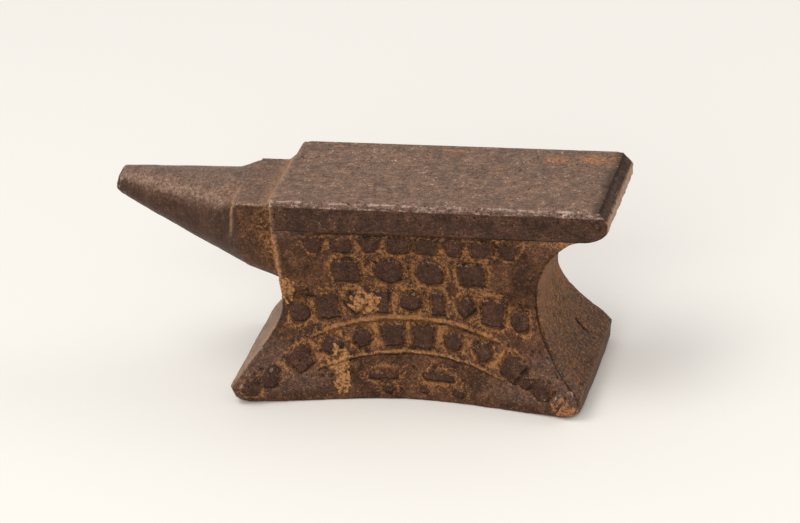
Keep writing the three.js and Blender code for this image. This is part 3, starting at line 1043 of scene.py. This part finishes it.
def horn_section(t, angle):
    """Places on the horn at shares t of its length and angles round its axis."""
    length = STEP_LOW[0] - HORN_LOW[0]
    nose = HORN_NOSE / length
    taper = clamp((1 - t) / (1 - nose * 0.4)) ** HORN_SWELL
    half_width = mix(HORN_TIP_RADIUS, HORN_ROOT_RADIUS, taper)
    # Below its axis the horn is as wide as the step where they meet.
    flush = (STEP_HIGH[1] - HORN_ROOT_RADIUS) * (1 - t) ** 4 * ease(0.0, -0.4, np.sin(angle))
    top = mix(HORN_HIGH[2], HORN_ROOT_TOP, (1 - t) ** 2)
    bottom = mix(HORN_HIGH[2] - 2 * HORN_TIP_RADIUS, HORN_LOW[2] - 0.2, (1 - t) ** 0.92)
    centre = mix((top + bottom) / 2, bottom + half_width * 1.05, 1 - t)
    shoulder = mix(2, HORN_ROOT_SHOULDER, (1 - t) ** 2)
    past = clamp((t - 1 + nose) / nose)
    close = (1 - (HORN_NOSE_FULLNESS * past) ** 3) ** (1 / 3)
    power = np.where(np.sin(angle) > 0, shoulder, mix(2, STEP_POWER, (1 - t) ** 2))
    across = bent(np.cos(angle), 2 / power)
    up = bent(np.sin(angle), 2 / power)
    y = across * (half_width + flush) * close
    z = centre + up * np.where(up > 0, top - centre, centre - bottom) * close
    # The root spreads into the step's squarer section.
    spread = ease(COVE, 0.0, t * length) * ease(-0.6, 0.1, np.sin(angle))
    step_power = np.where(up > 0, COVE_POWER, STEP_POWER)
    step_across = bent(np.cos(angle), 2 / step_power)
    step_up = bent(np.sin(angle), 2 / step_power)
    under = STEP_SIDE_BOTTOM - step_bottom(STEP_LOW[0])
    reach = np.where(up > 0, STEP_HIGH[2] - STEP_SIDE_BOTTOM, under)
    y = mix(y, step_across * STEP_HIGH[1], spread)
    z = mix(z, STEP_SIDE_BOTTOM + step_up * reach, spread)
    # The blunt end leans back, so its lower edge reaches farthest.
    end = clamp((t - 1) * length / HORN_END_REACH + 1)
    lean = HORN_END_LEAN * end ** 2 * clamp((z - bottom) / (top - bottom)) ** 1.6
    x = STEP_LOW[0] + HORN_OVERLAP - (length + HORN_OVERLAP) * t
    x = x + lean - HORN_END_FORWARD * end ** 2
    return np.stack([x, y, z], axis=1)


# The light seam where the horn sinks behind the step's near side: heights, and places along.
FIN_UP = (41.5, 46.3, 51.0)
FIN_ALONG = (-43.0, -42.1, -41.6)


def make_horn():
    around, along = HORN_STEPS
    profile = [(0.0, 0.0, 0.0)]
    profile += [(step / along, 1.0, 0.0) for step in range(along)]
    profile += [(1.0, 0.02, 0.0)]
    bm = turned(profile, (1, 0, 0), around)
    # The rule mirrors the grid, so its faces are turned over first.
    bmesh.ops.reverse_faces(bm, faces=bm.faces)

    def rule(unit):
        # The rings crowd towards the tip.
        t = unit[:, 0]
        t = np.where(t < 0.999, mix(t, 1 - (1 - t) ** 2.2, 0.6), 1.0)
        place = horn_section(t, np.arctan2(unit[:, 2], unit[:, 1]))
        middle = (t == 0) & (np.hypot(unit[:, 1], unit[:, 2]) < 0.5)
        place[middle, 1] = 0
        place[middle, 2] = STEP_SIDE_BOTTOM
        return place

    casting = Casting("anvil_horn", bm, rule)
    base = casting.base
    x, y, z = base.T
    casting.roughen((2.4, 9.0, 51), (1.0, 3.0, 52), (0.45, 1.0, 53))
    tip = ease(-70.0, -73.5, x)
    pitted = ease(0.0, 0.5, ripple(base, 5.0, 55))
    casting.push(-0.12 * ease(0.3, 0.1, crackle(base, 1.6, 54)) * pitted)
    casting.push(0.15 * tip * ripple(base, 1.3, 56))
    fin_x = np.interp(z, FIN_UP, FIN_ALONG) + 0.15 * ripple(base, 1.5, 59)
    fin = ease(0.55, 0.1, np.abs(x - fin_x)) * ease(-3.0, -4.5, y) * ease(41.0, 43.0, z)
    casting.push(0.2 * fin)

    up = casting.normals()[:, 2]
    root_patch = patch(base, (-43.6, -6.5, 51.0), (2.6, 4.5, 2.0), 0.5, 57)
    corner_line = ease(1.6, 0.3, x - STEP_LOW[0] + 1.6) * ease(42.0, 47.0, z)
    # Painted light: a painted highlight strip along the upper near side, a painted shade band under it,
    # and painted shade over the lower side.
    strip = ease(-47, -54, x) * (y < 0)
    painted_sheen = ease(0.72, 0.82, up) * ease(0.95, 0.87, up) * strip
    painted_shade_band = ease(0.3, 0.45, up) * ease(0.72, 0.6, up) * strip
    casting.mark(
        wear_and_highlight=0.16 * ease(0.2, 0.9, up) + 0.5 * tip * ease(0.0, 0.6, ripple(base, 0.8, 58))
        + 0.2 * corner_line + 0.06 * painted_sheen,
        dirt_and_shade=0.5 * ease(0.6, 0.2, up) + 0.35 * painted_shade_band,
        orange=0.4 * root_patch,
        ochre=0.12 * ease(0.3, -0.5, up),
        plum=0.2 * ease(-0.1, 0.8, up),
        polish=0.9 * ease(0.2, 0.8, up),
        tan=0.9 * fin,
    )
    finish = iron_finish(
        "horn iron", skin=linear(96, 69, 55), deep=linear(78, 55, 43), grain=filed_grain,
        rub_and_highlight=(0.25, 0.9), gloss=0.4, metal=0.25, mottle=0.7, pits=0.35, painted_glints=0.8,
    )
    return casting.finish(finish, "horn", "horn_iron")


# ---- Stage ----

AIM = Vector((-4.16, 0.0, 30.32)) * MM
CAMERA_AZIMUTH = math.radians(15.32)
CAMERA_ELEVATION = math.radians(26.6)
CAMERA_ROLL = math.radians(-4.615)
CAMERA_DISTANCE = 1.0
LENS = 183.9
# Name, place, side, power and colour of each soft light.
SOFTBOXES = (
    ("key light", (-0.5, -0.4, 1.3), 0.8, 7.2, (1.0, 0.99, 0.97)),
    ("front light", (0.0, -1.5, 0.9), 0.9, 12.0, (1.0, 0.99, 0.97)),
    ("heel light", (1.2, 0.3, 0.8), 0.6, 3.0, (1.0, 0.985, 0.96)),
)
WORLD_COLOUR = (1.0, 0.995, 0.985, 1.0)
WORLD_STRENGTH = 0.58


def aim_at(thing, target, roll=0.0):
    """Points an object's -Z axis at a place, then rolls it about that line of sight."""
    sight = (target - thing.location).to_track_quat("-Z", "Y")
    thing.rotation_euler = (sight.to_matrix() @ Matrix.Rotation(roll, 3, "Z")).to_euler()


def make_floor():
    bm = bmesh.new()
    bmesh.ops.create_grid(bm, x_segments=1, y_segments=1, size=sizes().floor / 2)
    mesh = bpy.data.meshes.new("floor")
    bm.to_mesh(mesh)
    bm.free()
    floor = bpy.data.objects.new("floor", mesh)
    bpy.context.collection.objects.link(floor)
    shop = Finish("floor paint")
    cloud = shop.cloud(400.0, 1.0, 0.5)
    tint = shop.shade(tuple(colours().floor), shop.ease(cloud, 0.3, 0.7, 0.99, 1.0))
    floor.data.materials.append(shop.close(tint, 0.0, FLOOR_ROUGHNESS, FLOOR_SHINE))


def make_lights():
    for name, place, side, power, colour in SOFTBOXES:
        light = bpy.data.lights.new(name, "AREA")
        light.shape = "SQUARE"
        light.size = side
        light.energy = power
        light.color = colour
        softbox = bpy.data.objects.new(name, light)
        softbox.location = place
        bpy.context.collection.objects.link(softbox)
        aim_at(softbox, AIM)
    world = bpy.data.worlds.new("studio")
    world.use_nodes = True
    sky = world.node_tree.nodes["Background"]
    sky.inputs["Color"].default_value = WORLD_COLOUR
    sky.inputs["Strength"].default_value = WORLD_STRENGTH
    bpy.context.scene.world = world


def make_camera():
    camera = bpy.data.objects.new("camera", bpy.data.cameras.new("camera"))
    camera.data.lens = LENS
    camera.data.sensor_width = 36.0
    camera.data.clip_start = 0.05
    camera.data.clip_end = 50.0
    level = math.cos(CAMERA_ELEVATION)
    away = Vector((
        math.sin(CAMERA_AZIMUTH) * level, -math.cos(CAMERA_AZIMUTH) * level,
        math.sin(CAMERA_ELEVATION),
    ))
    camera.location = AIM + CAMERA_DISTANCE * away
    bpy.context.collection.objects.link(camera)
    aim_at(camera, AIM, CAMERA_ROLL)
    bpy.context.scene.camera = camera


# ---- Operators and panel ----


class ANVIL_OT_stage(bpy.types.Operator):
    """Set the floor, the soft lights and the camera round the anvil"""
    bl_idname = "anvil.stage"
    bl_label = "Stage"

    def execute(self, context):
        make_floor()
        make_lights()
        make_camera()
        context.scene.view_settings.view_transform = "Standard"
        return {"FINISHED"}


class ANVIL_OT_body(bpy.types.Operator):
    """Cast the waisted body with the raised marks on its front"""
    bl_idname = "anvil.body"
    bl_label = "Body"

    def execute(self, context):
        make_body()
        return {"FINISHED"}


class ANVIL_OT_face(bpy.types.Operator):
    """Lay the face plate over the body"""
    bl_idname = "anvil.face"
    bl_label = "Face plate"

    def execute(self, context):
        make_face()
        return {"FINISHED"}


class ANVIL_OT_plug(bpy.types.Operator):
    """Fill the small round hole in the face"""
    bl_idname = "anvil.plug"
    bl_label = "Plug"

    def execute(self, context):
        make_plug()
        return {"FINISHED"}


class ANVIL_OT_step(bpy.types.Operator):
    """Add the step between the body and the horn"""
    bl_idname = "anvil.step"
    bl_label = "Step"

    def execute(self, context):
        make_step()
        return {"FINISHED"}


class ANVIL_OT_horn(bpy.types.Operator):
    """Draw out the round horn"""
    bl_idname = "anvil.horn"
    bl_label = "Horn"

    def execute(self, context):
        make_horn()
        return {"FINISHED"}


OPERATORS = (
    ANVIL_OT_stage, ANVIL_OT_body, ANVIL_OT_face, ANVIL_OT_plug, ANVIL_OT_step, ANVIL_OT_horn,
)


class ANVIL_PT_pieces(bpy.types.Panel):
    """The anvil's sizes, colours and pieces"""
    bl_idname = "ANVIL_PT_pieces"
    bl_label = "Anvil"
    bl_space_type = "VIEW_3D"
    bl_region_type = "UI"
    bl_category = "Anvil"

    def draw(self, context):
        scene = context.scene
        for group in (scene.anvil_sizes, scene.anvil_colours):
            box = self.layout.box()
            for name in group.__annotations__:
                box.prop(group, name)
        for operator in OPERATORS:
            self.layout.operator(operator.bl_idname)


CLASSES = (AnvilSizes, AnvilColours, *OPERATORS, ANVIL_PT_pieces)


def register():
    for cls in CLASSES:
        bpy.utils.register_class(cls)
    bpy.types.Scene.anvil_sizes = bpy.props.PointerProperty(type=AnvilSizes)
    bpy.types.Scene.anvil_colours = bpy.props.PointerProperty(type=AnvilColours)


def unregister():
    del bpy.types.Scene.anvil_colours
    del bpy.types.Scene.anvil_sizes
    for cls in reversed(CLASSES):
        bpy.utils.unregister_class(cls)


def main():
    register()
    bpy.ops.anvil.stage()
    bpy.ops.anvil.body()
    bpy.ops.anvil.face()
    bpy.ops.anvil.plug()
    bpy.ops.anvil.step()
    bpy.ops.anvil.horn()


if __name__ == "__main__":
    main()
